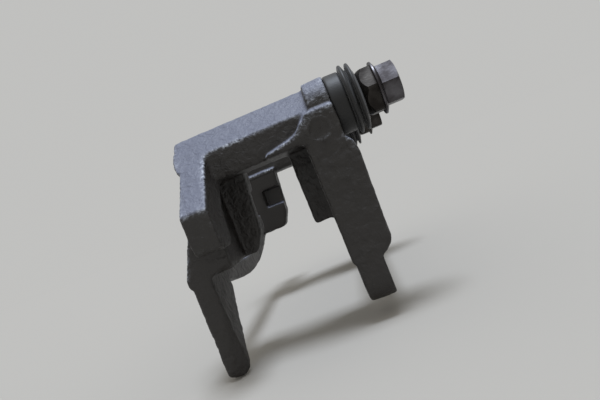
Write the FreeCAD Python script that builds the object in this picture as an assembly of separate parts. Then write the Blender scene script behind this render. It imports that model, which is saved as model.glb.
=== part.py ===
import FreeCAD, Part
import math
import os

# Anchor bracket (carrier) of a floating disc brake caliper, with its two guide pins,
# their dust boots and the two flange bolts that hold the caliper to the pins.
#
# Working axes, in mm: X runs across the brake disc, Y along the carrier, Z away from the axle.
# X 0 is the disc's mid-plane, Y 0 the middle of the carrier, Z 0 the guide pins' axis.
# Every piece is moved to the datum at the end: midway between the two mounting holes, on the
# machined faces of the ears.
#
# One end of the carrier is drawn at +Y; the other end is its mirror image.

V = FreeCAD.Vector
X_AXIS = V(1, 0, 0)
Y_AXIS = V(0, 1, 0)

# ---------------------------------------------------------------- carrier, along Y
PAD_SPAN = 88.0             # between the two pad abutment faces
ABUTMENT_THICKNESS = 12.4   # of each abutment column, along Y
BAR_OVERHANG = 22.1         # bridge bar's end face beyond the abutment column
BAR_INSET = 3.5             # bar's inner face back from the abutment face
HOOK_REACH = 21.7           # hook's end face beyond the plate's end face
END_RECESS = 4.8            # bar's end face back from the plate's
RECESS_FILLET = 4.0         # where that face meets the hook's leg

# ---------------------------------------------------------------- carrier, along X
DISC_SLOT = 21.0            # gap that the disc turns in
OUTER_ABUTMENT = 9.2        # outboard abutment, from the slot to the leg's inner face
OUTER_LEG = 10.8            # thickness of the outboard leg and hook
OUTER_WEB = 7.1             # thinner web between hook and abutment column
COLUMN_PROUD = 0.8          # abutment column beyond the leg's outer face
BAR_OVERSAIL = 3.4          # bar's top edge beyond the outboard leg
BEAM_OFFSET = 12.5          # outboard tie beam's outer face beyond the leg's outer face
OUTER_BEAM_WIDTH = 7.5
INNER_ABUTMENT = 9.7        # inboard abutment, from the slot to the inboard plate
INNER_PLATE = 18.1          # thickness of the inboard plate
EAR_INSET = 1.0             # ear's slot-side face back from the plate's
EAR_THICKNESS = 11.3        # of each mounting ear, between its machined faces
RIDGE_SETBACK = 12.5        # ridge where the bar's end face steps up, from the tower's face
RIDGE_FOOT_SETBACK = 32.8   # the same at the bar's underside

# ---------------------------------------------------------------- carrier, heights on Z
BAR_TOP = 12.0
BAR_BOTTOM = -10.8
BAR_NOSE_TOP = -2.5         # where the sloped face meets the bar's end face
BAR_CREST = 18.0            # crest of the slope, back from the end face
LEDGE_TOP = 0.5             # ledge below the tower, level with the plate's end face
OUTER_ABUTMENT_BOTTOM = -36.5
OUTER_ABUTMENT_FOOT = -45.3
OUTER_ABUTMENT_CHAMFER = 4.0  # width of the slant between those two heights
ABUTMENT_DRAFT = 2.6        # slot widens by this much from the bar down to that bottom
INNER_ABUTMENT_BOTTOM = -43.4
HOOK_BOTTOM = -36.0
GROOVE_TOP = -19.4          # pad lug's groove in each abutment face
GROOVE_HEIGHT = 11.0
GROOVE_DEPTH = 6.2
OUTER_WEB_BOTTOM = -45.5
ROOT = 3.0                  # how far webs and columns run up into the bar
OUTER_BEAM_BOTTOM = -58.5   # at the middle of the bowed tie beam
OUTER_BEAM_HEIGHT = 9.0
OUTER_BEAM_RISE = 13.0      # its ends above its middle
INNER_BEAM_TOP = -46.0
INNER_BEAM_BOTTOM = -60.5
INNER_BEAM_THICKNESS = 13.5
PLATE_FOOT = -62.0          # underside of the inboard plates; the ears' machined faces start here
ARM_BOTTOM = -86.8          # tip of the long outboard arm at the near end
ARM_STEP = -47.0            # foot of the cast skin above the arm's machined face
ARM_CUT = 1.2               # depth of that machining
ARM_THICKNESS = 8.7
ARM_ROOT = 27.0             # arm's depth along Y where it leaves the leg
ARM_TIP = 6.0
ARM_BEVEL = 5.0             # width at the tip of the bevel on its inner front edge
ARM_FRONT = 6.0             # arm's front face beyond the bar's end face

# ---------------------------------------------------------------- mounting ears
EAR_HOLE_R = 5.4            # M12 x 1.25 thread, drilled size
EAR_HOLE_Z = -68.4
EAR_HOLE_FROM_END = 12.0    # from the bar's end face, along Y
EAR_R = 12.0

# ---------------------------------------------------------------- guide pins and bores
PIN_FROM_END = 15.0         # pin axis from the bar's end face, along Y
PIN_R = 4.75
PIN_CLEARANCE = 0.07        # radial, pin in its bore
PIN_SHANK_LENGTH = 49.0
PIN_NECK_R = 6.4            # thicker stretch that takes the bolt's thread
PIN_NECK_SETBACK = 3.1      # its inner end back from the tower's face
PIN_NECK_TAPER = 1.5
PIN_END_CHAMFER = 1.0
PIN_TRAVEL_IN = 4.0
PIN_TRAVEL_OUT = 10.0
BORE_END_GAP = 2.0          # left past the pin when it is pushed right in
TOWER_R = 13.3
TOWER_LENGTH = 9.5
TOWER_SETBACK = 2.2         # tower's face back from the inboard plate's outer face
SPIGOT_R = 9.0              # turned nose that the boot sits on
SPIGOT_LENGTH = 5.4
MOUTH_CLEARANCE = 0.8       # radial, round the pin's thicker stretch
HEAD_ACROSS_FLATS = 18.6
HEAD_R = 10.35
HEAD_LENGTH = 6.5
HEAD_COLLAR = 2.6           # coned length behind the hexagon
HEAD_COLLAR_DROP = 1.6
HEAD_START = 12.8           # from the tower's face

# ---------------------------------------------------------------- damping bush on the far pin
BUSH_LENGTH = 14.0
BUSH_WALL = 1.15
BUSH_CLEARANCE = 0.03       # radial, on the pin
BUSH_END_GAP = 0.5          # bush clear of the pin's shoulder
BUSH_LIP = 1.0              # bare end of the pin left past the bush

# ---------------------------------------------------------------- caliper bolts (M8 flange bolts)
BOLT_R = 4.0
BOLT_LENGTH = 20.0
BOLT_CLEARANCE = 0.05
FLANGE_R = 11.15
FLANGE_THICKNESS = 2.0
FLANGE_RIM = 0.9            # straight edge of the flange, before its cone
THREAD_RUNOUT = 1.0         # tapped depth past the bolt's end
HEX_ACROSS_FLATS = 16.0
HEX_HEIGHT = 7.2
HEX_ROOT = 0.5              # hexagon runs this far into the flange
HEX_CHAMFER = 0.6

# ---------------------------------------------------------------- boots and their rings
BOOT_BASE_R = 12.75
BOOT_BASE_LENGTH = 6.7
BOOT_GAP = 0.1              # boot clear of the tower's face and of the pin's head
BOOT_SEAT_CLEARANCE = 0.05  # radial, boot on its spigot
BOOT_RING_1_R = 14.5
BOOT_RING_2_R = 14.25
BOOT_RING_WIDTH = 1.8
BOOT_RING_STEP = 0.3        # from the base or valley up to a ring
BOOT_VALLEY_R = 11.6
BOOT_NECK_R = 10.6
BOOT_WALL = 1.3
BOOT_BEAD = 2.0             # width of the bead in the pin's groove
BEAD_R = 5.6                # radius of that groove
STEEL_RING_R = 11.3
STEEL_RING_WALL = 0.9
STEEL_RING_LENGTH = 4.4
STEEL_RING_INSET = 0.93     # from the base's end face
RING_POCKET_GAP = 0.03      # round the hoop, all sides

# ---------------------------------------------------------------- worked out from the above
COLUMN_OUT = PAD_SPAN / 2 + ABUTMENT_THICKNESS
END_Y = COLUMN_OUT + BAR_OVERHANG
BAR_IN_Y = PAD_SPAN / 2 + BAR_INSET
SLOT_X = DISC_SLOT / 2
LEG_IN_X = -SLOT_X - OUTER_ABUTMENT
LEG_OUT_X = LEG_IN_X - OUTER_LEG
BEAM_OUT_X = LEG_OUT_X - BEAM_OFFSET
ARM_OUT_X = BEAM_OUT_X + ARM_CUT
WEB_IN_X = LEG_OUT_X + OUTER_WEB
ARM_FRONT_Y = -END_Y - ARM_FRONT
BEAM_REACH = END_Y - 6.0
PLATE_IN_X = SLOT_X + INNER_ABUTMENT
PLATE_OUT_X = PLATE_IN_X + INNER_PLATE
TOWER_X = PLATE_OUT_X - TOWER_SETBACK
PIN_NECK_START = TOWER_X - PIN_NECK_SETBACK
PIN_INNER_END = PIN_NECK_START - PIN_SHANK_LENGTH
EAR_IN_X = PLATE_IN_X + EAR_INSET
EAR_OUT_X = EAR_IN_X + EAR_THICKNESS
PIN_Y = END_Y - PIN_FROM_END
EAR_Y = END_Y - EAR_HOLE_FROM_END
BORE_R = PIN_R + PIN_CLEARANCE
BORE_END = PIN_INNER_END - PIN_TRAVEL_IN - BORE_END_GAP
MOUTH_R = PIN_NECK_R + MOUTH_CLEARANCE
MOUTH_END = PIN_NECK_START - PIN_TRAVEL_IN - BORE_END_GAP
HEAD_X = TOWER_X + HEAD_START
FLANGE_X = HEAD_X + HEAD_LENGTH
HEX_X = FLANGE_X + FLANGE_THICKNESS
RIDGE_X = TOWER_X - RIDGE_SETBACK
RIDGE_FOOT_X = TOWER_X - RIDGE_FOOT_SETBACK
SLOPE = (BAR_TOP - BAR_NOSE_TOP) / BAR_CREST
DATUM = V(EAR_OUT_X, 0, EAR_HOLE_Z)


# ---------------------------------------------------------------- drawing helpers
def rounded_wire(corners, place):
    """Closed wire through (u, v, radius) corners; a short side limits its corners' radii."""
    points = [V(u, v, 0) for u, v, radius in corners]
    starts = []
    ends = []
    middles = []
    for i, (u, v, radius) in enumerate(corners):
        here = points[i]
        back = points[i - 1] - here
        ahead = points[(i + 1) % len(points)] - here
        half = back.getAngle(ahead) / 2
        if radius == 0:
            starts.append(here)
            ends.append(here)
            middles.append(None)
            continue
        reach = min(radius / math.tan(half), 0.48 * min(back.Length, ahead.Length))
        radius = reach * math.tan(half)
        back.normalize()
        ahead.normalize()
        towards = (back + ahead).normalize()
        starts.append(here + back * reach)
        ends.append(here + ahead * reach)
        middles.append(here + towards * (radius / math.sin(half) - radius))
    edges = []
    for i in range(len(points)):
        if middles[i] is not None:
            edges.append(Part.Arc(place(starts[i]), place(middles[i]), place(ends[i])).toShape())
        start = place(ends[i])
        end = place(starts[(i + 1) % len(points)])
        if (end - start).Length > 1e-6:
            edges.append(Part.LineSegment(start, end).toShape())
    return Part.Wire(edges)


def plate_on_x(corners, x_low, x_high):
    """Solid with a (y, z) outline, from x_low to x_high."""
    wire = rounded_wire(corners, lambda p: V(x_low, p.x, p.y))
    return Part.Face(wire).extrude(V(x_high - x_low, 0, 0))


def plate_on_y(corners, y_low, y_high):
    """Solid with an (x, z) outline, from y_low to y_high."""
    wire = rounded_wire(corners, lambda p: V(p.x, y_low, p.y))
    return Part.Face(wire).extrude(V(0, y_high - y_low, 0))


def turned(corners, y_centre):
    """Solid turned about the pin axis at y_centre, from an (x, radius) outline."""
    wire = rounded_wire(corners, lambda p: V(p.x, y_centre, p.y))
    return Part.Face(wire).revolve(V(0, y_centre, 0), X_AXIS, 360)


def rod(x_low, x_high, radius, y_centre, z_centre=0.0):
    return Part.makeCylinder(radius, x_high - x_low, V(x_low, y_centre, z_centre), X_AXIS)


def hoop(x_low, x_high, outer_r, inner_r, y_centre):
    return rod(x_low, x_high, outer_r, y_centre).cut(rod(x_low, x_high, inner_r, y_centre))


def hexagon(x_low, x_high, across_flats, y_centre):
    """Hexagonal bar along X with a flat on top."""
    corner_r = across_flats / math.sqrt(3)
    corners = []
    for i in range(6):
        angle = math.radians(60 * i)
        corners.append((y_centre + corner_r * math.cos(angle), corner_r * math.sin(angle), 0))
    return plate_on_x(corners, x_low, x_high)


def slope_z(y):
    """Height of the bar's sloped face at y."""
    return BAR_NOSE_TOP + SLOPE * (END_Y - y)


# ---------------------------------------------------------------- the cast carrier, end at +Y
def bridge_bar():
    """Bar over the disc, with its sloped outer face; the guide pin runs inside it."""
    section = [
        (END_Y, BAR_BOTTOM, 1.5),
        (END_Y, BAR_NOSE_TOP, 1.5),
        (END_Y - BAR_CREST, BAR_TOP, 2.5),
        (BAR_IN_Y + 4.0, BAR_TOP, 2.5),
        (BAR_IN_Y, BAR_TOP - 5.0, 2.5),
        (BAR_IN_Y, BAR_BOTTOM, 2.5),
    ]
    top_x = LEG_OUT_X - BAR_OVERSAIL
    bar = plate_on_x(section, top_x, TOWER_X)
    elevation = [
        (top_x, BAR_TOP, 2.0),
        (top_x, BAR_TOP - 10.0, 3.0),
        (LEG_OUT_X, BAR_NOSE_TOP - 2.5, 3.0),
        (LEG_OUT_X, BAR_BOTTOM, 0),
        (TOWER_X, BAR_BOTTOM, 0),
        (TOWER_X, BAR_TOP, 0),
    ]
    return bar.common(plate_on_y(elevation, 0, END_Y))


def tower():
    """Round boss and turned spigot at the mouth of the pin's bore."""
    boss = rod(TOWER_X - TOWER_LENGTH, TOWER_X, TOWER_R, PIN_Y)
    spigot = rod(TOWER_X - TOWER_LENGTH, TOWER_X + SPIGOT_LENGTH, SPIGOT_R, PIN_Y)
    return boss.fuse(spigot)


def tower_ledge():
    """Ledge that carries the plate's end face up to the tower."""
    section = [
        (PIN_Y, BAR_BOTTOM, 0),
        (END_Y, BAR_BOTTOM, 0),
        (END_Y, LEDGE_TOP, 1.2),
        (PIN_Y, LEDGE_TOP, 0),
    ]
    return plate_on_x(section, RIDGE_X, TOWER_X)


def end_recess():
    """Space that sets the bar's end face back, between the hook's leg and the plate's ridge."""
    face_y = END_Y - END_RECESS
    clear_y = END_Y + 1.0
    low = BAR_BOTTOM - 2.0
    plan = [
        (LEG_IN_X, clear_y, 0),
        (LEG_IN_X, face_y, RECESS_FILLET),
        (RIDGE_X, face_y, 0),
        (RIDGE_X, clear_y, 0),
    ]
    space = Part.Face(rounded_wire(plan, lambda p: V(p.x, p.y, low)))
    space = space.extrude(V(0, 0, BAR_TOP - low))
    elevation = [
        (LEG_IN_X, low, 0),
        (RIDGE_FOOT_X, low, 0),
        (RIDGE_FOOT_X, BAR_BOTTOM + 1.5, 2.0),
        (RIDGE_X - 5.5, BAR_BOTTOM + 4.8, 6.0),
        (RIDGE_X, LEDGE_TOP, 3.0),
        (RIDGE_X, BAR_TOP, 0),
        (LEG_IN_X, BAR_TOP, 0),
    ]
    return space.common(plate_on_y(elevation, face_y, clear_y))


def hook():
    """Outboard leg that carries the bar's slope on, down and out, to a blunt hook."""
    tip_y = END_Y + HOOK_REACH
    outline = [
        (END_Y - 12.0, slope_z(END_Y - 12.0), 0),
        (tip_y, slope_z(tip_y), 2.0),
        (tip_y, HOOK_BOTTOM, 5.0),
        (END_Y + 4.0, HOOK_BOTTOM, 3.0),
        (END_Y + 1.0, HOOK_BOTTOM + 12.0, 6.0),
        (END_Y - 12.0, BAR_BOTTOM - 1.0, 4.0),
        (COLUMN_OUT, BAR_BOTTOM - 1.0, 0),
        (COLUMN_OUT, BAR_BOTTOM + 10.0, 0),
    ]
    return plate_on_x(outline, LEG_OUT_X, LEG_IN_X)


def outboard_web():
    """Thinner web that ties hook, abutment column and tie beam together."""
    outline = [
        (PAD_SPAN / 2, BAR_BOTTOM + ROOT, 0),
        (END_Y - 2.0, BAR_BOTTOM + ROOT, 0),
        (END_Y + ARM_FRONT - 1.0, HOOK_BOTTOM + 2.0, 6.0),
        (END_Y + ARM_FRONT - 1.0, OUTER_WEB_BOTTOM, 3.0),
        (PAD_SPAN / 2, OUTER_WEB_BOTTOM, 4.0),
    ]
    return plate_on_x(outline, LEG_OUT_X, WEB_IN_X)


def outboard_abutment():
    """Column that one pad's lug slides against on the outboard side."""
    foot_x = -SLOT_X - ABUTMENT_DRAFT
    outline = [
        (-SLOT_X, BAR_BOTTOM + ROOT, 0),
        (foot_x, OUTER_ABUTMENT_BOTTOM, 3.0),
        (foot_x - OUTER_ABUTMENT_CHAMFER, OUTER_ABUTMENT_FOOT, 3.0),
        (LEG_OUT_X - COLUMN_PROUD, OUTER_ABUTMENT_FOOT, 0),
        (LEG_OUT_X - COLUMN_PROUD, BAR_BOTTOM + ROOT, 2.0),
    ]
    return plate_on_y(outline, PAD_SPAN / 2, COLUMN_OUT)


def inboard_plate():
    """Thick inboard leg below the tower, from the bar down to the beam."""
    outline = [
        (PLATE_IN_X, BAR_BOTTOM + 5.0, 0),
        (PLATE_IN_X, PLATE_FOOT, 0),
        (PLATE_OUT_X - 4.0, PLATE_FOOT, 2.0),
        (PLATE_OUT_X, PLATE_FOOT + 4.0, 2.5),
        (PLATE_OUT_X + 1.0, -TOWER_R - 8.0, 4.0),
        (PLATE_OUT_X + 0.5, -TOWER_R - 3.5, 2.5),
        (TOWER_X, -TOWER_R, 0),
        (TOWER_X, BAR_BOTTOM + 5.0, 0),
    ]
    return plate_on_y(outline, PAD_SPAN / 2, END_Y)


def inboard_abutment():
    """Column that the other pad's lug slides against on the inboard side."""
    outline = [
        (SLOT_X, BAR_BOTTOM + ROOT, 0),
        (SLOT_X, INNER_ABUTMENT_BOTTOM, 1.5),
        (PLATE_IN_X - 2.0, INNER_ABUTMENT_BOTTOM + 0.5, 2.0),
        (PLATE_IN_X + 2.0, INNER_ABUTMENT_BOTTOM - 4.0, 0),
        (PLATE_IN_X + 2.0, BAR_BOTTOM + ROOT, 0),
    ]
    return plate_on_y(outline, PAD_SPAN / 2, COLUMN_OUT)


def mounting_ear():
    """Ear below the inboard plate, machined on both sides."""
    outline = [
        (EAR_Y - EAR_R - 7.0, INNER_BEAM_TOP - 2.0, 0),
        (END_Y, INNER_BEAM_TOP - 2.0, 0),
        (END_Y, EAR_HOLE_Z - EAR_R, EAR_R * 0.95),
        (EAR_Y - EAR_R, EAR_HOLE_Z - EAR_R, EAR_R * 0.9),
        (EAR_Y - EAR_R - 7.0, INNER_BEAM_BOTTOM, 0),
    ]
    return plate_on_x(outline, EAR_IN_X, EAR_OUT_X)


def pad_groove():
    """Space for a pad's lug, cut across both abutments of one end."""
    y_low = PAD_SPAN / 2 - 1.0
    y_high = PAD_SPAN / 2 + GROOVE_DEPTH
    z_low = GROOVE_TOP - GROOVE_HEIGHT
    outline = [
        (y_low, z_low, 0),
        (y_high, z_low, 1.0),
        (y_high, GROOVE_TOP, 1.0),
        (y_low, GROOVE_TOP, 0),
    ]
    return plate_on_x(outline, WEB_IN_X, PLATE_IN_X + 6.0)


def pin_bore():
    """Blind bore for the guide pin, opened out at its mouth for the pin's neck."""
    narrow = rod(BORE_END, TOWER_X, BORE_R, PIN_Y)
    mouth = rod(MOUTH_END, TOWER_X + SPIGOT_LENGTH + 1.0, MOUTH_R, PIN_Y)
    return narrow.fuse(mouth)


def ear_hole():
    return rod(EAR_IN_X - 1.0, EAR_OUT_X + 1.0, EAR_HOLE_R, EAR_Y, EAR_HOLE_Z)


def ear_clearance():
    """Cut that machines the ears' outer faces, below the plates' feet."""
    low = EAR_HOLE_Z - EAR_R - 1.0
    return Part.makeBox(INNER_PLATE, END_Y * 2, PLATE_FOOT - low, V(EAR_OUT_X, -END_Y, low))


def carrier_end():
    """Everything cast at one end, before the bores and grooves are cut."""
    shape = bridge_bar()
    for piece in (tower_ledge(), tower(), hook(), outboard_web(), outboard_abutment(),
                  inboard_plate(), inboard_abutment(), mounting_ear()):
        shape = shape.fuse(piece)
    return shape.cut(end_recess())


def end_cuts():
    return pad_groove().fuse(pin_bore()).fuse(ear_hole())


# ---------------------------------------------------------------- parts of the casting with no twin
def outboard_beam():
    """Tie beam that joins the two outboard legs, bowed away from the pads."""
    def edge(z_middle):
        ends = [V(BEAM_OUT_X, y, z_middle + OUTER_BEAM_RISE) for y in (-BEAM_REACH, BEAM_REACH)]
        return Part.Arc(ends[0], V(BEAM_OUT_X, 0, z_middle), ends[1]).toShape()
    low = edge(OUTER_BEAM_BOTTOM)
    high = edge(OUTER_BEAM_BOTTOM + OUTER_BEAM_HEIGHT)
    sides = []
    for low_end, high_end in zip(low.Vertexes, high.Vertexes):
        sides.append(Part.LineSegment(low_end.Point, high_end.Point).toShape())
    wire = Part.Wire(Part.sortEdges([low, high] + sides)[0])
    return Part.Face(wire).extrude(V(OUTER_BEAM_WIDTH, 0, 0))


def leg_joggle(y_low, y_high):
    """Sloped stretch that steps a leg out to the tie beam's plane."""
    outline = [
        (WEB_IN_X, HOOK_BOTTOM + 17.0, 0),
        (LEG_OUT_X + 0.5, HOOK_BOTTOM + 17.0, 0),
        (LEG_OUT_X - 6.0, HOOK_BOTTOM + 7.0, 8.0),
        (BEAM_OUT_X, ARM_STEP + 3.0, 5.0),
        (BEAM_OUT_X, ARM_STEP, 0.5),
        (BEAM_OUT_X + OUTER_BEAM_WIDTH, ARM_STEP, 1.5),
        (WEB_IN_X, OUTER_WEB_BOTTOM + 4.0, 2.0),
    ]
    return plate_on_y(outline, y_low, y_high)


def arm_bevel():
    """Space beyond a slanted plane that bevels the arm's inner front edge, widest at its tip."""
    corner_x = ARM_OUT_X + ARM_THICKNESS
    root = V(corner_x, ARM_FRONT_Y, ARM_STEP)
    along_front = V(corner_x - ARM_BEVEL, ARM_FRONT_Y, ARM_BOTTOM) - root
    along_side = V(corner_x, ARM_FRONT_Y + ARM_BEVEL, ARM_BOTTOM) - root
    outward = along_front.cross(along_side).normalize()
    if outward.x < 0:
        outward = outward * -1
    u = along_front.normalize() * END_Y
    v = outward.cross(u)
    corners = [root + u + v, root - u + v, root - u - v, root + u - v]
    return Part.Face(Part.makePolygon(corners + corners[:1])).extrude(outward * END_Y)


def long_arm():
    """Arm that hangs below the outboard leg at the near end only, tapering to its tip."""
    front = ARM_FRONT_Y
    outline = [
        (front, ARM_STEP + 4.0, 0),
        (front + ARM_ROOT, ARM_STEP + 4.0, 0),
        (front + ARM_ROOT, ARM_STEP - 6.0, 6.0),
        (front + ARM_TIP, ARM_BOTTOM, 5.0),
        (front, ARM_BOTTOM, 4.0),
    ]
    arm = plate_on_x(outline, ARM_OUT_X, ARM_OUT_X + ARM_THICKNESS)
    elevation = [
        (ARM_OUT_X, HOOK_BOTTOM, 0),
        (ARM_OUT_X, ARM_BOTTOM, 4.0),
        (ARM_OUT_X + ARM_THICKNESS, ARM_BOTTOM, 3.0),
        (ARM_OUT_X + ARM_THICKNESS, HOOK_BOTTOM, 0),
    ]
    return arm.common(plate_on_y(elevation, front, 0)).cut(arm_bevel())


def inboard_beam():
    """Heavy beam that joins the two inboard plates, arched above and below."""
    reach = END_Y - 12.0
    outline = [
        (-reach, INNER_BEAM_TOP + 6.0, 0),
        (-PAD_SPAN / 2 + 4.0, INNER_BEAM_TOP, 8.0),
        (PAD_SPAN / 2 - 4.0, INNER_BEAM_TOP, 8.0),
        (reach, INNER_BEAM_TOP + 6.0, 0),
        (reach, INNER_BEAM_BOTTOM, 0),
        (PAD_SPAN / 2 - 4.0, INNER_BEAM_BOTTOM, 10.0),
        (PAD_SPAN / 2 - 16.0, INNER_BEAM_BOTTOM + 3.5, 12.0),
        (-PAD_SPAN / 2 + 16.0, INNER_BEAM_BOTTOM + 3.5, 12.0),
        (-PAD_SPAN / 2 + 4.0, INNER_BEAM_BOTTOM, 10.0),
        (-reach, INNER_BEAM_BOTTOM, 0),
    ]
    return plate_on_x(outline, PLATE_OUT_X - INNER_BEAM_THICKNESS, PLATE_OUT_X)


def bracket():
    end = carrier_end()
    shape = end.fuse(end.mirror(V(0, 0, 0), Y_AXIS))
    near_leg = leg_joggle(ARM_FRONT_Y, -COLUMN_OUT)
    far_leg = leg_joggle(COLUMN_OUT, BEAM_REACH)
    for piece in (outboard_beam(), inboard_beam(), near_leg, far_leg, long_arm()):
        shape = shape.fuse(piece)
    cuts = end_cuts()
    shape = shape.cut(cuts).cut(cuts.mirror(V(0, 0, 0), Y_AXIS)).cut(ear_clearance())
    return shape.removeSplitter()


# ---------------------------------------------------------------- guide pins, bush and bolts
def guide_pin(y, has_bush):
    """Turned pin: shank, thicker neck with the boot's groove, and a hexagonal head."""
    groove_x = HEAD_X - BOOT_BEAD
    shank_r = PIN_R
    seat_r = PIN_R - BUSH_WALL
    seat_end = PIN_INNER_END + BUSH_LENGTH
    if has_bush:
        profile = [(PIN_INNER_END, 0, 0), (PIN_INNER_END, seat_r, PIN_END_CHAMFER),
                   (seat_end, seat_r, 0), (seat_end, shank_r, 0)]
    else:
        profile = [(PIN_INNER_END, 0, 0), (PIN_INNER_END, shank_r, PIN_END_CHAMFER)]
    profile += [
        (PIN_NECK_START, shank_r, 0),
        (PIN_NECK_START + PIN_NECK_TAPER, PIN_NECK_R, 0),
        (groove_x, PIN_NECK_R, 0),
        (groove_x, BEAD_R, 0),
        (HEAD_X, BEAD_R, 0),
        (HEAD_X, 0, 0),
    ]
    body = turned(profile, y)
    head = turned([(HEAD_X, 0, 0), (HEAD_X, HEAD_R - HEAD_COLLAR_DROP, 0),
                   (HEAD_X + HEAD_COLLAR, HEAD_R, 0), (FLANGE_X, HEAD_R, 0),
                   (FLANGE_X, 0, 0)], y)
    head = head.common(hexagon(HEAD_X, FLANGE_X, HEAD_ACROSS_FLATS, y))
    thread = rod(FLANGE_X - BOLT_LENGTH - THREAD_RUNOUT, FLANGE_X, BOLT_R + BOLT_CLEARANCE, y)
    return body.fuse(head).cut(thread)


def damping_bush(y):
    """Rubber sleeve on the inner end of the far pin."""
    x_low = PIN_INNER_END + BUSH_LIP
    x_high = PIN_INNER_END + BUSH_LENGTH - BUSH_END_GAP
    return hoop(x_low, x_high, PIN_R, PIN_R - BUSH_WALL + BUSH_CLEARANCE, y)


def caliper_bolt(y):
    """Flange bolt screwed into the end of a pin."""
    profile = [
        (FLANGE_X - BOLT_LENGTH, 0, 0),
        (FLANGE_X - BOLT_LENGTH, BOLT_R, 1.0),
        (FLANGE_X, BOLT_R, 0),
        (FLANGE_X, FLANGE_R, 0.4),
        (FLANGE_X + FLANGE_RIM, FLANGE_R, 0),
        (HEX_X, HEX_ACROSS_FLATS / 2 + 1.0, 0),
        (HEX_X, 0, 0),
    ]
    corner_r = HEX_ACROSS_FLATS / math.sqrt(3)
    hex_end = HEX_X + HEX_HEIGHT
    hex_start = HEX_X - HEX_ROOT
    crown = turned([(hex_start, 0, 0), (hex_start, corner_r, 0),
                    (hex_end - HEX_CHAMFER, corner_r, 0),
                    (hex_end, HEX_ACROSS_FLATS / 2 * 0.97, 0), (hex_end, 0, 0)], y)
    head = crown.common(hexagon(hex_start, hex_end, HEX_ACROSS_FLATS, y))
    return turned(profile, y).fuse(head)


# ---------------------------------------------------------------- boots
def boot(y):
    """Rubber bellows from the spigot to the groove behind the pin's head."""
    base_x = TOWER_X + BOOT_GAP
    base_end = TOWER_X + BOOT_BASE_LENGTH
    neck_x = HEAD_X - BOOT_GAP
    fold = (neck_x - base_end) / 2
    ring_1_x = base_end + BOOT_RING_STEP
    ring_2_x = base_end + fold + BOOT_RING_STEP
    seat_r = SPIGOT_R + BOOT_SEAT_CLEARANCE
    bead_x = HEAD_X - BOOT_BEAD + BOOT_GAP
    profile = [
        (base_x, seat_r, 0),
        (base_x, BOOT_BASE_R, 0.6),
        (base_end, BOOT_BASE_R, 0.4),
        (ring_1_x, BOOT_RING_1_R, 0.7),
        (ring_1_x + BOOT_RING_WIDTH, BOOT_RING_1_R, 0.8),
        (base_end + fold, BOOT_VALLEY_R, 0.3),
        (ring_2_x, BOOT_RING_2_R, 0.7),
        (ring_2_x + BOOT_RING_WIDTH, BOOT_RING_2_R, 0.8),
        (neck_x - 0.2, BOOT_NECK_R, 0.3),
        (neck_x, BEAD_R + BOOT_SEAT_CLEARANCE, 0),
        (bead_x, BEAD_R + BOOT_SEAT_CLEARANCE, 0),
        (bead_x, BOOT_NECK_R - BOOT_WALL, 0),
        (base_end, BOOT_NECK_R - BOOT_WALL, 0),
        (base_end - 0.6, seat_r, 0),
    ]
    pocket_x = base_x + STEEL_RING_INSET - RING_POCKET_GAP
    pocket_end = base_x + STEEL_RING_INSET + STEEL_RING_LENGTH + RING_POCKET_GAP
    pocket = hoop(pocket_x, pocket_end, STEEL_RING_R + RING_POCKET_GAP,
                  STEEL_RING_R - STEEL_RING_WALL - RING_POCKET_GAP, y)
    return turned(profile, y).cut(pocket)


def boot_ring(y):
    """Steel hoop moulded into the boot's base, which grips the spigot."""
    x_low = TOWER_X + BOOT_GAP + STEEL_RING_INSET
    return hoop(x_low, x_low + STEEL_RING_LENGTH, STEEL_RING_R, STEEL_RING_R - STEEL_RING_WALL, y)


# ---------------------------------------------------------------- export
def all_pieces():
    pieces = {"bracket": bracket()}
    for name, y in (("near", -PIN_Y), ("far", PIN_Y)):
        pieces[name + "_guide_pin"] = guide_pin(y, has_bush=(name == "far"))
        pieces[name + "_caliper_bolt"] = caliper_bolt(y)
        pieces[name + "_pin_boot"] = boot(y)
        pieces[name + "_boot_ring"] = boot_ring(y)
    pieces["far_pin_bush"] = damping_bush(PIN_Y)
    return pieces


def main():
    os.makedirs("parts", exist_ok=True)
    for name, shape in all_pieces().items():
        shape.translate(DATUM * -1)
        shape.exportStep("parts/" + name + ".step")
        box = shape.BoundBox
        print(name, len(shape.Solids), shape.isValid(), round(shape.Volume),
              [round(v, 2) for v in (box.XMin, box.YMin, box.ZMin, box.XMax, box.YMax, box.ZMax)])


main()
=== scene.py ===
import math
import bmesh
import bpy
import numpy as np
from mathutils import Matrix, Vector, noise


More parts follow.
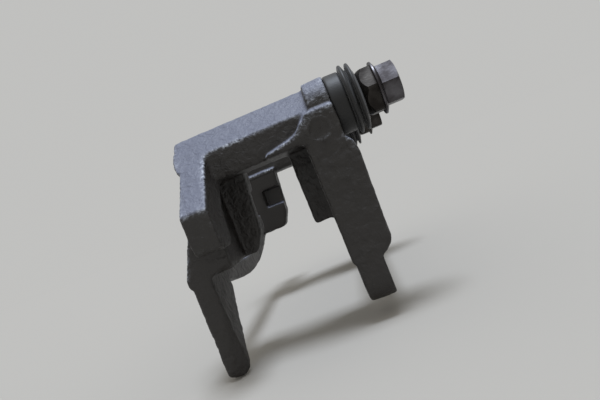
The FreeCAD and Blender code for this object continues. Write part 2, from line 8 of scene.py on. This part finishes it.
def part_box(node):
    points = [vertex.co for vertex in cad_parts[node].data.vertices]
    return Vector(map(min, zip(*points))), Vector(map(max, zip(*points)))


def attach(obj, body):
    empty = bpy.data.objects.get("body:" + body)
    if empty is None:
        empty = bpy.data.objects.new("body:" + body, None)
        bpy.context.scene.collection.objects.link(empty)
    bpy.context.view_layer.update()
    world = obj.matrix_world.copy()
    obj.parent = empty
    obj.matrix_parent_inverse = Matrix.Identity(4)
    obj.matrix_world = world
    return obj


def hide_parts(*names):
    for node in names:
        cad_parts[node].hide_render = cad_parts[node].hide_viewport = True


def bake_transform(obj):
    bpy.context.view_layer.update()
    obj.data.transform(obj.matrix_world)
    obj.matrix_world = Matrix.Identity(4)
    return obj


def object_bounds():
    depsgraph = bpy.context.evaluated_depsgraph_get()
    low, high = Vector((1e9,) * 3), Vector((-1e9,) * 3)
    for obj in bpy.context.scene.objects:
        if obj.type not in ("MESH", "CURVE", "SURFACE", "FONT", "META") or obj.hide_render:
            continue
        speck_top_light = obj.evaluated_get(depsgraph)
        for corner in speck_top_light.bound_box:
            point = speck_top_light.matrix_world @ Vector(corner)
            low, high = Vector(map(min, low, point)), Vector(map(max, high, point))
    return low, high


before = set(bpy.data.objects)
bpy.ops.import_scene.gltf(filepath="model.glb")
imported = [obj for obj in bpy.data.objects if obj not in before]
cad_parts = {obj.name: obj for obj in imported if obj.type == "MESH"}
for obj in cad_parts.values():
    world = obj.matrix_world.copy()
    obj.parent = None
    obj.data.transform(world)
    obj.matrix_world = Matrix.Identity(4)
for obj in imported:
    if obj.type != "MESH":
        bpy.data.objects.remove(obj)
cad_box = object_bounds()

MM = 0.001
ENDS = ("near", "far")       # ends of the carrier, as the nodes are named


# ---------------------------------------------------------------- camera
CAMERA_AT = Vector((-1.1, -278.5, 43.0)) * MM
CAMERA_AIM = Vector((-0.1041, 0.9943, -0.0247))
CAMERA_ROLL = math.radians(22.1)
CAMERA_LENS = 30.78         # mm, on the sensor below
CAMERA_SENSOR = 36.0
CAMERA_RANGE = (0.01, 30.0)  # m, nearest and farthest seen


def make_camera():
    """Camera at its place, aimed, then rolled about its line of sight."""
    data = bpy.data.cameras.new("studio_camera")
    data.sensor_width = CAMERA_SENSOR
    data.lens = CAMERA_LENS
    data.clip_start, data.clip_end = CAMERA_RANGE
    camera = bpy.data.objects.new("studio_camera", data)
    bpy.context.scene.collection.objects.link(camera)
    aim = CAMERA_AIM.normalized()
    level = aim.cross(Vector((0, 0, 1))).normalized()
    upright = level.cross(aim)
    right = level * math.cos(CAMERA_ROLL) - upright * math.sin(CAMERA_ROLL)
    up = right.cross(aim)
    turn = Matrix((right, up, -aim)).transposed().to_4x4()
    camera.matrix_world = Matrix.Translation(CAMERA_AT) @ turn
    bpy.context.scene.camera = camera


# ---------------------------------------------------------------- mesh helpers
def add_object(name, mesh):
    """Puts a mesh in the scene as an object."""
    piece = bpy.data.objects.new(name, mesh)
    bpy.context.scene.collection.objects.link(piece)
    return piece


def revolve(name, loops, centre, segments):
    """Mesh turned about X through centre. Each loop is a closed (along, radius) outline in mm."""
    form = bmesh.new()
    along = Vector((1, 0, 0))
    side = along.orthogonal().normalized()
    for loop in loops:
        rings = []
        for step in range(segments):
            angle = 2 * math.pi * step / segments
            out = Matrix.Rotation(angle, 3, along) @ side
            ring = [form.verts.new(centre + along * (x * MM) + out * (r * MM)) for x, r in loop]
            rings.append(ring)
        for step in range(segments):
            here = rings[step]
            ahead = rings[(step + 1) % segments]
            for i in range(len(loop)):
                j = (i + 1) % len(loop)
                form.faces.new((here[i], here[j], ahead[j], ahead[i]))
    bmesh.ops.recalc_face_normals(form, faces=form.faces)
    mesh = bpy.data.meshes.new(name)
    form.to_mesh(mesh)
    form.free()
    mesh.shade_smooth()
    return add_object(name, mesh)


def soften(outline, rounds, keep=0.25):
    """Cuts the corners of a closed outline, the same share of each side every round."""
    for _ in range(rounds):
        cut = []
        for i, here in enumerate(outline):
            ahead = outline[(i + 1) % len(outline)]
            cut.append(tuple(a + (b - a) * keep for a, b in zip(here, ahead)))
            cut.append(tuple(b + (a - b) * keep for a, b in zip(here, ahead)))
        outline = cut
    return outline


# ---------------------------------------------------------------- the cast bracket
# All in mm. The ears' faces are at X 0, their holes at Z 0.
CELL = 0.6                  # of the casting's mesh
WELD = 0.01                 # corners closer than this are one
EAR_Y = 66.5                # ear holes, either side of the middle
EAR_BACK_X = -11.3
EAR_REACH_X = 12.0          # ears lie within this, either side of X 0
EAR_FACED_R = 14.0          # faced area round an ear hole
EAR_FACED_TOP = 6.0
EAR_HOLE_R = 5.4
PIN_Y = 63.5                # guide pins' axes
PIN_Z = 68.4
SPIGOT_FACE_X = 3.6         # root of the turned nose that the boot sits on
SPIGOT_R = 8.95
SPIGOT_FACED_R = 10.2
SPIGOT_REACH = 12.0         # anything beyond this radius isn't the nose
ABUTMENT_Y = 44.0           # pad abutment faces
GROOVE_FLOOR_Y = 50.2
ABUTMENT_LOW = 24.0         # milled height of those faces
ABUTMENT_HIGH = 58.0
NEAR_FACE = 0.6             # a vertex this close to a turned or faced plane belongs to it,
NEAR_PLANE = 0.7            # to a milled one
NEAR_WALL = 0.8             # or to the hole's end or wall
NEAR_HOLE = 0.75            # and one this close to the hole's radius is put on it
NOSE_START = 0.4            # the nose is trued from this far past its root

MARK_X = -4.6               # moulding mark on the bar's end face
MARK_Z = 60.7
MARK_R = 4.6
MARK_RISE = 0.5
MARK_SINK = 0.3             # its middle, below the face
END_FACE_Y = 70.0           # end faces lie beyond this, either side

FACING = 0.8                # least part of a normal along an axis to count as facing it
ROUNDING = (7, 0.5)         # smoothing rounds and strength that round the arrises
WIDE = (25, 0.6)            # more rounds: what stands above that surface is an arris
WIDER = (45, 0.6)           # and more again, for the band that handling wears


def edge_table(mesh):
    """Vertex pairs of the edges, and each vertex's number of neighbours."""
    pairs = np.zeros(len(mesh.edges) * 2, np.int64)
    mesh.edges.foreach_get("vertices", pairs)
    pairs = pairs.reshape(-1, 2)
    count = np.bincount(pairs.ravel(), minlength=len(mesh.vertices))
    return pairs, np.maximum(count, 1)[:, None]


def neighbour_mean(values, pairs, count):
    """Mean of each vertex's neighbours."""
    size = len(values)
    columns = []
    for k in range(values.shape[1]):
        total = np.bincount(pairs[:, 0], values[pairs[:, 1], k], size)
        total += np.bincount(pairs[:, 1], values[pairs[:, 0], k], size)
        columns.append(total)
    return np.stack(columns, 1) / count


def smooth(co, edges, rounds, strength):
    """Moves every vertex towards its neighbours' mean, in place."""
    for _ in range(rounds):
        co += strength * (neighbour_mean(co, *edges) - co)


def vertex_normals(mesh):
    """Unit normal of each vertex."""
    normals = np.zeros(len(mesh.vertices) * 3, np.float32)
    mesh.vertex_normals.foreach_get("vector", normals)
    return normals.reshape(-1, 3).astype(float)


def coordinates(mesh):
    """Vertex coordinates in mm."""
    co = np.zeros(len(mesh.vertices) * 3, np.float32)
    mesh.vertices.foreach_get("co", co)
    return co.reshape(-1, 3).astype(float) / MM


def put_back(mesh, co):
    """Writes coordinates in mm back to the mesh."""
    mesh.vertices.foreach_set("co", (co * MM).astype(np.float32).ravel())
    mesh.update()


def field(co, size, seed, octaves=1):
    """Smooth noise, about -1 to 1, with lumps of that size in mm."""
    shift = Vector((seed * 7.3, seed * 3.1, seed * 5.7))
    scale = 1.0 / size
    points = [Vector(p) * scale + shift for p in co.tolist()]
    if octaves == 1:
        return np.array([noise.noise(p) for p in points])
    return np.array([noise.fractal(p, 0.9, 2.0, octaves) for p in points])


def ramp(values, low, width):
    """0 up to low, 1 from low + width, straight between."""
    return np.clip((values - low) / width, 0, 1)


def machined_share(co, normals):
    """1 on the faces that a cutter finished, 0 on the rough casting."""
    x, y, z = co[:, 0], np.abs(co[:, 1]), co[:, 2]
    share = np.zeros(len(co))
    from_ear_hole = np.hypot(y - EAR_Y, z)
    for plane in (0.0, EAR_BACK_X):
        flat = (np.abs(x - plane) < NEAR_FACE) & (np.abs(normals[:, 0]) > FACING)
        share[flat & (from_ear_hole < EAR_FACED_R) & (z < EAR_FACED_TOP)] = 1.0
    share[(from_ear_hole < EAR_HOLE_R + NEAR_WALL) & (np.abs(x) < EAR_REACH_X)] = 1.0
    nose = (np.hypot(y - PIN_Y, z - PIN_Z) < SPIGOT_FACED_R) & (x > SPIGOT_FACE_X - NEAR_FACE)
    share[nose] = 1.0
    milled = (np.abs(normals[:, 1]) > FACING) & (z > ABUTMENT_LOW) & (z < ABUTMENT_HIGH)
    for plane in (ABUTMENT_Y, GROOVE_FLOOR_Y):
        share[milled & (np.abs(y - plane) < NEAR_PLANE)] = 1.0
    return share


def polar(co, y0, z0):
    """Offsets from a line along X at either end of the carrier, and the distance from it."""
    across = np.abs(co[:, 1]) - y0
    height = co[:, 2] - z0
    return across, height, np.maximum(np.hypot(across, height), 1e-6)


def to_radius(co, y0, z0, radius, chosen):
    """Puts the chosen vertices at that distance from a line along X at either end."""
    side = np.sign(co[:, 1])
    across, height, distance = polar(co, y0, z0)
    share = np.where(chosen, radius / distance, 1.0)
    co[:, 1] = (y0 + across * share) * side
    co[:, 2] = z0 + height * share


def true_machined(co):
    """Puts the drilled ear holes and the turned noses back on their exact radii, in place."""
    distance = polar(co, EAR_Y, 0.0)[2]
    inside = (co[:, 0] > EAR_BACK_X - NEAR_WALL) & (co[:, 0] < NEAR_WALL)
    wall = inside & (np.abs(distance - EAR_HOLE_R) < NEAR_HOLE)
    to_radius(co, EAR_Y, 0.0, EAR_HOLE_R, wall)
    distance = polar(co, PIN_Y, PIN_Z)[2]
    past_root = co[:, 0] > SPIGOT_FACE_X + NOSE_START
    nose = past_root & (distance > SPIGOT_R) & (distance < SPIGOT_REACH)
    to_radius(co, PIN_Y, PIN_Z, SPIGOT_R, nose)


def bar_end_marks(co, normals):
    """Raised ring and rough skin that the mould left on the two end faces, in mm."""
    facing = ramp(np.abs(normals[:, 1]), 0.7, 0.2) * (np.abs(co[:, 1]) > END_FACE_Y)
    from_mark = np.hypot(co[:, 0] - MARK_X, co[:, 2] - MARK_Z)
    relief = MARK_RISE * np.exp(-((from_mark - MARK_R) / 0.7) ** 2)
    relief -= MARK_SINK * ramp(-from_mark, -4.4, 1.2)
    rough = ramp(co[:, 0], -22.0, 10.0)       # the skin is rougher towards the inboard side
    low = ramp(-co[:, 2], -40.0, 15.0)        # and calmer lower down
    relief += (0.42 * rough * (1 - 0.75 * low) + 0.06) * field(co, 3.4, 11, 3)
    return relief * facing


def fine_mesh(node):
    """The node's solid as even small cells, fine enough to carry a cast skin."""
    piece = add_object("cast_bracket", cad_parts[node].data.copy())
    piece.modifiers.new("weld", "WELD").merge_threshold = WELD * MM
    cells = piece.modifiers.new("cells", "REMESH")
    cells.mode = "VOXEL"
    cells.voxel_size = CELL * MM
    cells.use_smooth_shade = True
    graph = bpy.context.evaluated_depsgraph_get()
    mesh = bpy.data.meshes.new_from_object(piece.evaluated_get(graph))
    piece.modifiers.clear()
    piece.data = mesh
    return piece


def add_attribute(mesh, name, values):
    """Stores one number a vertex, for the material to read."""
    made = mesh.attributes.new(name, "FLOAT", "POINT")
    made.data.foreach_set("value", values.astype(np.float32))


def cast_bracket():
    """The casting: its sharp CAD form with as-cast rounded edges, sandy skin and chipped arrises."""
    piece = fine_mesh("bracket")
    mesh = piece.data
    edges = edge_table(mesh)
    co = coordinates(mesh)
    smooth(co, edges, *ROUNDING)
    put_back(mesh, co)
    normals = vertex_normals(mesh)
    up = normals[:, 2]
    wide = co.copy()
    smooth(wide, edges, *WIDE)
    arris = ramp(((co - wide) * normals).sum(1), 0.10, 0.30)
    smooth(wide, edges, *WIDER)
    crest = ramp(((co - wide) * normals).sum(1), 0.20, 0.55)

    machined = machined_share(co, normals)
    rough = 1.0 - machined
    skin = 0.20 * field(co, 7.0, 1, 2) + 0.10 * field(co, 2.6, 2, 2) + 0.05 * field(co, 1.3, 3)
    bites = np.clip(field(co, 2.6, 4, 3) - 0.05, 0, 1)
    move = rough * (skin + bar_end_marks(co, normals) - 0.45 * arris * bites)
    co += normals * move[:, None]
    true_machined(co)
    put_back(mesh, co)

    # arrises that look up take the knocks, and faces that look up get painted top light, a paler tone
    # for the light that falls on them
    knocks = np.clip(field(co, 28.0, 6, 2) * 2.0 + 0.8, 0.35, 1) * ramp(up, 0.02, 0.25)
    add_attribute(mesh, "edge_wear", crest * rough * knocks)
    # painted top light: 1 on rough faces that look up, for the material to paint paler
    add_attribute(mesh, "painted_top_light", ramp(up, 0.30, 0.42) * rough)
    add_attribute(mesh, "machined", machined)
    mesh.shade_smooth()
    mesh.materials.clear()
    mesh.materials.append(materials["coated_cast_iron"])
    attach(piece, "carrier")
    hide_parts("bracket")


# ---------------------------------------------------------------- rubber boots
BOOT_SEGMENTS = 96
BOOT_BASE = 6.6             # mm, plain base from the tower's face to the first fold


def pin_boot(end):
    """Bellows boot: plain base over its steel hoop, two thin folds and a bead behind the pin's head."""
    low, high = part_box(end + "_pin_boot")
    centre = Vector((0, (low.y + high.y) / 2, (low.z + high.z) / 2))
    x0, x1 = low.x / MM, high.x / MM
    base = x0 + BOOT_BASE
    fold = (x1 - base) / 2
    # outside from the tower's face to the bead, then back along the inside
    skin = [
        (x0, 9.08), (x0, 12.3), (x0 + 0.45, 12.72), (x0 + 2.2, 12.72), (x0 + 4.6, 12.66),
        (base - 0.5, 12.6), (base, 12.0), (base + 0.1, 12.3), (base + 0.35, 13.9),
        (base + 0.75, 14.62), (base + 1.65, 14.62), (base + 2.0, 13.9),
        (base + fold - 0.25, 11.9), (base + fold + 0.1, 11.7), (base + fold + 0.3, 12.2),
        (base + fold + 0.55, 13.8), (base + fold + 0.9, 14.32), (base + fold + 1.7, 14.32),
        (base + fold + 2.0, 13.6), (x1 - 0.35, 10.9), (x1 - 0.02, 10.3),
        (x1 - 0.02, 5.66), (x1 - 1.8, 5.66), (x1 - 1.8, 9.2), (base + fold + 1.2, 12.0),
        (base + fold - 0.1, 10.0), (base + 1.2, 12.2), (base - 0.6, 9.6), (base - 1.2, 9.08),
    ]
    # the hoop's hollow, closed all round
    pocket = [(x0 + 0.90, 10.37), (x0 + 0.90, 11.33), (x0 + 5.36, 11.33), (x0 + 5.36, 10.37)]
    piece = revolve(end + "_boot_bellows", [soften(skin, 2), pocket], centre, BOOT_SEGMENTS)
    piece.data.materials.append(materials["epdm_rubber"])
    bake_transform(piece)
    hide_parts(end + "_pin_boot")


# ---------------------------------------------------------------- materials
SKY = (0.53, 0.53, 0.52)    # radiance of the air round the object
KEY = (0.62, 0.68, 0.78)    # what the overhead light adds to a white card on the floor


def linear(hex_colour):
    """sRGB hex to linear RGBA."""
    parts = [int(hex_colour[i:i + 2], 16) / 255 for i in (1, 3, 5)]
    return [c / 12.92 if c <= 0.04045 else ((c + 0.055) / 1.055) ** 2.4 for c in parts] + [1.0]


def per_mm(size):
    """Texture scale, in metres, for a pattern whose parts are that many mm across."""
    return 1000.0 / size


def add_node(tree, kind, inputs=None, **settings):
    """Adds a node, sets its properties, and sets or links its inputs by name or number."""
    made = tree.nodes.new(kind)
    for name, value in settings.items():
        setattr(made, name, value)
    for name, value in (inputs or {}).items():
        socket = made.inputs[name]
        if isinstance(value, bpy.types.NodeSocket):
            tree.links.new(value, socket)
        else:
            socket.default_value = value
    return made


def new_material(name):
    """Empty node material and its tree."""
    made = bpy.data.materials.new(name)
    made.use_nodes = True
    made.node_tree.nodes.clear()
    return made, made.node_tree


def finish_material(tree, shader):
    """Sends the shader to the surface."""
    add_node(tree, "ShaderNodeOutputMaterial", {"Surface": shader.outputs["BSDF"]})


def coated_cast_iron():
    """Sand-cast ductile iron, dip coated: dark, grainy and semi-matt, pale where arrises chipped."""
    made, tree = new_material("coated_cast_iron")
    place = add_node(tree, "ShaderNodeTexCoord").outputs["Object"]
    wear = add_node(tree, "ShaderNodeAttribute", attribute_name="edge_wear").outputs["Fac"]
    faced = add_node(tree, "ShaderNodeAttribute", attribute_name="machined").outputs["Fac"]
    patches = add_node(tree, "ShaderNodeTexNoise", {"Vector": place, "Scale": per_mm(22), "Detail": 3.0})
    tone = add_node(tree, "ShaderNodeMix", {
        "Factor": patches.outputs["Fac"], "A": linear("#1b1814"), "B": linear("#2b2725")},
        data_type="RGBA")
    # faces that look up are painted paler and bluer: painted top light and a painted reflection of the
    # cool sky
    top_light_share = add_node(tree, "ShaderNodeAttribute", attribute_name="painted_top_light").outputs["Fac"]
    bloom = add_node(tree, "ShaderNodeMix", {
        "Factor": top_light_share, "A": tone.outputs["Result"], "B": linear("#6b6f80")}, data_type="RGBA")
    # sand grains of 0.3 mm are drawn at 0.9 mm, coarse enough to show; their pale specks are painted top
    # light too, strongest on faces that look up
    grit = add_node(tree, "ShaderNodeTexNoise", {
        "Vector": place, "Scale": per_mm(0.9), "Detail": 4.0, "Roughness": 0.65})
    specks = add_node(tree, "ShaderNodeMapRange", {
        "Value": grit.outputs["Fac"], "From Min": 0.60, "From Max": 0.75, "To Max": 0.35})
    # pale specks show more on faces that look up: painted top light
    speck_top_light = add_node(tree, "ShaderNodeMapRange", {"Value": top_light_share, "To Min": 0.15})
    speck_share = add_node(tree, "ShaderNodeMath", {
        0: specks.outputs["Result"], 1: speck_top_light.outputs["Result"]}, operation="MULTIPLY")
    speckled = add_node(tree, "ShaderNodeMix", {
        "Factor": speck_share.outputs["Value"], "A": bloom.outputs["Result"], "B": linear("#a2a5ae")},
        data_type="RGBA")
    # chips of the coat, broken up so that a worn arris shows as specks
    breaks = add_node(tree, "ShaderNodeTexNoise", {
        "Vector": place, "Scale": per_mm(1.3), "Detail": 4.0, "Roughness": 0.7})
    broken = add_node(tree, "ShaderNodeMapRange", {
        "Value": breaks.outputs["Fac"], "From Min": 0.47, "From Max": 0.63})
    chipped = add_node(tree, "ShaderNodeMath", {0: wear, 1: broken.outputs["Result"]},
                       operation="MULTIPLY", use_clamp=True)
    colour = add_node(tree, "ShaderNodeMix", {
        "Factor": chipped.outputs["Value"], "A": speckled.outputs["Result"], "B": linear("#c0c6d2")},
        data_type="RGBA")
    gloss = add_node(tree, "ShaderNodeMapRange", {
        "Value": patches.outputs["Fac"], "From Min": 0.3, "From Max": 0.7,
        "To Min": 0.42, "To Max": 0.58})
    # cut faces have neither the sand's grain nor the folds of the cast skin
    cast = add_node(tree, "ShaderNodeMath", {0: 1.0, 1: faced}, operation="SUBTRACT", use_clamp=True)
    height = add_node(tree, "ShaderNodeMath", {
        0: grit.outputs["Fac"], 1: cast.outputs["Value"]}, operation="MULTIPLY")
    folds = add_node(tree, "ShaderNodeTexNoise", {
        "Vector": place, "Scale": per_mm(3.5), "Detail": 3.0, "Distortion": 0.8})
    fold_height = add_node(tree, "ShaderNodeMath", {
        0: folds.outputs["Fac"], 1: cast.outputs["Value"]}, operation="MULTIPLY")
    wavy = add_node(tree, "ShaderNodeBump", {
        "Height": fold_height.outputs["Value"], "Strength": 0.8, "Distance": 1.1 * MM})
    bump = add_node(tree, "ShaderNodeBump", {
        "Height": height.outputs["Value"], "Strength": 0.6, "Distance": 0.4 * MM,
        "Normal": wavy.outputs["Normal"]})
    shader = add_node(tree, "ShaderNodeBsdfPrincipled", {
        "Base Color": colour.outputs["Result"], "Roughness": gloss.outputs["Result"],
        "Specular IOR Level": 0.55, "Normal": bump.outputs["Normal"]})
    finish_material(tree, shader)
    return made


def epdm_rubber():
    """Moulded EPDM: near black with a grey bloom and the faint skin of its mould."""
    made, tree = new_material("epdm_rubber")
    place = add_node(tree, "ShaderNodeTexCoord").outputs["Object"]
    bloom = add_node(tree, "ShaderNodeTexNoise", {"Vector": place, "Scale": per_mm(7), "Detail": 4.0})
    share = add_node(tree, "ShaderNodeMapRange", {
        "Value": bloom.outputs["Fac"], "From Min": 0.4, "From Max": 0.75})
    colour = add_node(tree, "ShaderNodeMix", {
        "Factor": share.outputs["Result"], "A": linear("#0c0b0b"), "B": linear("#191817")},
        data_type="RGBA")
    gloss = add_node(tree, "ShaderNodeMapRange", {
        "Value": bloom.outputs["Fac"], "To Min": 0.42, "To Max": 0.62})
    # the mould's finish of about 0.1 mm is drawn at 0.8 mm, coarse enough to show
    skin = add_node(tree, "ShaderNodeTexNoise", {"Vector": place, "Scale": per_mm(0.8), "Detail": 2.0})
    bump = add_node(tree, "ShaderNodeBump", {
        "Height": skin.outputs["Fac"], "Strength": 0.25, "Distance": 0.12 * MM})
    shader = add_node(tree, "ShaderNodeBsdfPrincipled", {
        "Base Color": colour.outputs["Result"], "Roughness": gloss.outputs["Result"],
        "Sheen Weight": 0.15, "Normal": bump.outputs["Normal"]})
    finish_material(tree, shader)
    return made


def plated_steel(name, clean, dull, rough_low, rough_high, grain):
    """Turned or forged steel, thinly plated: a soft metal gleam, clouded in patches by handling."""
    made, tree = new_material(name)
    place = add_node(tree, "ShaderNodeTexCoord").outputs["Object"]
    cloud = add_node(tree, "ShaderNodeTexNoise", {"Vector": place, "Scale": per_mm(6), "Detail": 5.0})
    share = add_node(tree, "ShaderNodeMapRange", {
        "Value": cloud.outputs["Fac"], "From Min": 0.35, "From Max": 0.65})
    colour = add_node(tree, "ShaderNodeMix", {
        "Factor": share.outputs["Result"], "A": linear(clean), "B": linear(dull)}, data_type="RGBA")
    gloss = add_node(tree, "ShaderNodeMapRange", {
        "Value": cloud.outputs["Fac"], "From Min": 0.3, "From Max": 0.7,
        "To Min": rough_low, "To Max": rough_high})
    # tool and forging marks, finer in life, are drawn at about a millimetre
    marks = add_node(tree, "ShaderNodeTexNoise", {
        "Vector": place, "Scale": per_mm(grain), "Detail": 3.0})
    bump = add_node(tree, "ShaderNodeBump", {
        "Height": marks.outputs["Fac"], "Strength": 0.35, "Distance": 0.12 * MM})
    shader = add_node(tree, "ShaderNodeBsdfPrincipled", {
        "Base Color": colour.outputs["Result"], "Roughness": gloss.outputs["Result"],
        "Metallic": 1.0, "Normal": bump.outputs["Normal"]})
    finish_material(tree, shader)
    return made


def studio_card():
    """Matt paper, whose tone times the light on it is the radiance of the air."""
    made, tree = new_material("pale_studio_paper")
    tone = [sky / (sky + key) for sky, key in zip(SKY, KEY)] + [1.0]
    shader = add_node(tree, "ShaderNodeBsdfPrincipled", {
        "Base Color": tone, "Roughness": 0.95, "Specular IOR Level": 0.0})
    finish_material(tree, shader)
    return made


# plated steels: clean and dull tone, least and greatest roughness, size of the marks in mm
STEELS = {
    # zinc gone grey with road dirt: dull, cool and a little brighter than the pin
    "zinc_plated_bolt_steel": ("#615f62", "#3f3c3d", 0.34, 0.46, 1.2),
    # plating darkened by grease and heat: near black with a broad soft gleam
    "plated_pin_steel": ("#45423f", "#2e2b29", 0.42, 0.55, 0.9),
    # bare spring steel, kept clean by the rubber round it: plain mid grey
    "spring_ring_steel": ("#8d8f92", "#6c6a68", 0.35, 0.5, 0.9),
}

materials = {"coated_cast_iron": coated_cast_iron(), "epdm_rubber": epdm_rubber()}
for name, look in STEELS.items():
    materials[name] = plated_steel(name, *look)
materials["pale_studio_paper"] = studio_card()


# ---------------------------------------------------------------- studio
FLOOR_GAP = 0.4 * MM        # floor below the object's lowest point
FLOOR_R = 9.0               # m
SUN_AIM = Vector((-0.16, 0.03, -0.98))
SUN_SPREAD = math.radians(20)


def make_stage():
    """Pale paper floor, of the tone that lets it fade into the air behind it."""
    low = cad_box[0].z - FLOOR_GAP
    form = bmesh.new()
    bmesh.ops.create_circle(form, cap_ends=True, segments=128, radius=FLOOR_R)
    bmesh.ops.translate(form, verts=form.verts, vec=(0, 0, low))
    mesh = bpy.data.meshes.new("studio_floor")
    form.to_mesh(mesh)
    form.free()
    mesh.materials.append(materials["pale_studio_paper"])
    add_object("studio_floor", mesh)


def make_lights():
    """One broad overhead light, and even light from all round."""
    data = bpy.data.lights.new("overhead_light", "SUN")
    data.angle = SUN_SPREAD
    data.energy = max(KEY) * math.pi / abs(SUN_AIM.z)
    data.color = [c / max(KEY) for c in KEY]
    lamp = bpy.data.objects.new("overhead_light", data)
    bpy.context.scene.collection.objects.link(lamp)
    lamp.rotation_mode = "QUATERNION"
    lamp.rotation_quaternion = SUN_AIM.to_track_quat("-Z", "Y")
    world = bpy.data.worlds.new("studio_air")
    world.use_nodes = True
    air = world.node_tree.nodes["Background"]
    air.inputs["Color"].default_value = list(SKY) + [1.0]
    air.inputs["Strength"].default_value = 1.0
    bpy.context.scene.world = world
    bpy.context.scene.view_settings.view_transform = "Standard"


# ---------------------------------------------------------------- build
# the far bolt takes the darker pin steel: painted shade for the shadow it sits in
BOLT_STEEL_FAR_SHADED = {"near": "zinc_plated_bolt_steel", "far": "plated_pin_steel"}


def dress(node, material):
    """Gives a CAD node its material."""
    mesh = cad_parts[node].data
    if len(mesh.materials) == 0:
        mesh.materials.append(materials[material])
    for i in range(len(mesh.materials)):
        mesh.materials[i] = materials[material]


make_camera()
make_stage()
make_lights()
cast_bracket()
for end in ENDS:
    pin_boot(end)
    dress(end + "_guide_pin", "plated_pin_steel")
    dress(end + "_caliper_bolt", BOLT_STEEL_FAR_SHADED[end])
    dress(end + "_boot_ring", "spring_ring_steel")
dress("far_pin_bush", "epdm_rubber")
